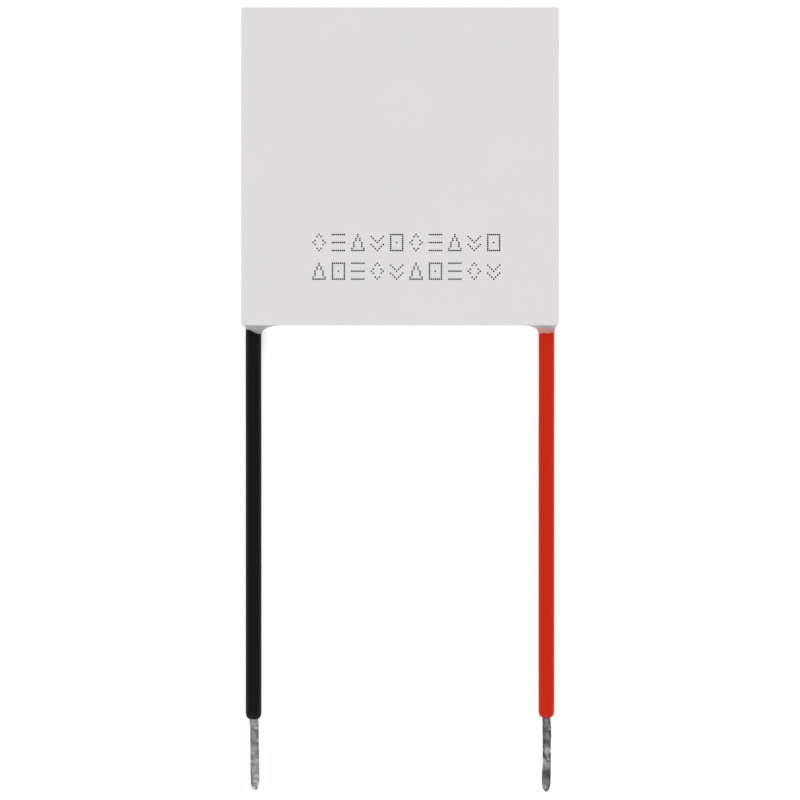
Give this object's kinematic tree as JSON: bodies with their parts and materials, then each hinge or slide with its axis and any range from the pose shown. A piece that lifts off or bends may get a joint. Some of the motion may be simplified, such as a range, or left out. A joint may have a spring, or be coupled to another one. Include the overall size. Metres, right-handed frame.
{
  "type": "thermoelectric cooling module",
  "caption": "Thin square thermoelectric cooling module: a sealed grid of semiconductor legs between two white ceramic plates, with a black and a red lead that leave one edge.",
  "frame": {"origin": "centre of the hot face, the plain lower face that the module rests on", "axes": "+Z from the hot face to the cold face, -Y the way both leads leave, +X from the black lead to the red lead"},
  "size_m": [0.04, 0.0989, 0.004],
  "materials": {
    "alumina": "matte",
    "silicone": "satin",
    "pvc_black": "satin",
    "pvc_red": "satin",
    "tinned_strands": "satin",
    "solder": "satin",
    "copper": "satin",
    "bismuth_telluride_p": "matte",
    "marking_ink": "matte",
    "bismuth_telluride_n": "matte"
  },
  "bodies": {
    "root": {"hot_plate": "alumina", "cold_plate": "alumina", "seal": "silicone", "black_lead_sleeve": "pvc_black", "black_lead_conductor": "tinned_strands", "black_lead_solder": "solder", "red_lead_sleeve": "pvc_red", "red_lead_conductor": "tinned_strands", "red_lead_solder": "solder", "p_legs_loop_1": "bismuth_telluride_p", "n_legs_loop_1": "bismuth_telluride_n", "hot_tabs_loop_1": "copper", "cold_tabs_loop_1": "copper", "hot_solder_loop_1": "solder", "cold_solder_loop_1": "solder", "p_legs_loop_2": "bismuth_telluride_p", "n_legs_loop_2": "bismuth_telluride_n", "hot_tabs_loop_2": "copper", "cold_tabs_loop_2": "copper", "hot_solder_loop_2": "solder", "cold_solder_loop_2": "solder", "p_legs_loop_3": "bismuth_telluride_p", "n_legs_loop_3": "bismuth_telluride_n", "hot_tabs_loop_3": "copper", "cold_tabs_loop_3": "copper", "hot_solder_loop_3": "solder", "cold_solder_loop_3": "solder", "p_legs_loop_4": "bismuth_telluride_p", "n_legs_loop_4": "bismuth_telluride_n", "hot_tabs_loop_4": "copper", "cold_tabs_loop_4": "copper", "hot_solder_loop_4": "solder", "cold_solder_loop_4": "solder", "p_legs_loop_5": "bismuth_telluride_p", "n_legs_loop_5": "bismuth_telluride_n", "hot_tabs_loop_5": "copper", "cold_tabs_loop_5": "copper", "hot_solder_loop_5": "solder", "cold_solder_loop_5": "solder", "p_legs_loop_6": "bismuth_telluride_p", "n_legs_loop_6": "bismuth_telluride_n", "hot_tabs_loop_6": "copper", "cold_tabs_loop_6": "copper", "hot_solder_loop_6": "solder", "cold_solder_loop_6": "solder", "p_legs_loop_7": "bismuth_telluride_p", "n_legs_loop_7": "bismuth_telluride_n", "hot_tabs_loop_7": "copper", "cold_tabs_loop_7": "copper", "hot_solder_loop_7": "solder", "cold_solder_loop_7": "solder", "p_legs_loop_8": "bismuth_telluride_p", "n_legs_loop_8": "bismuth_telluride_n", "hot_tabs_loop_8": "copper", "cold_tabs_loop_8": "copper", "hot_solder_loop_8": "solder", "cold_solder_loop_8": "solder"}
  },
  "joints": []
}
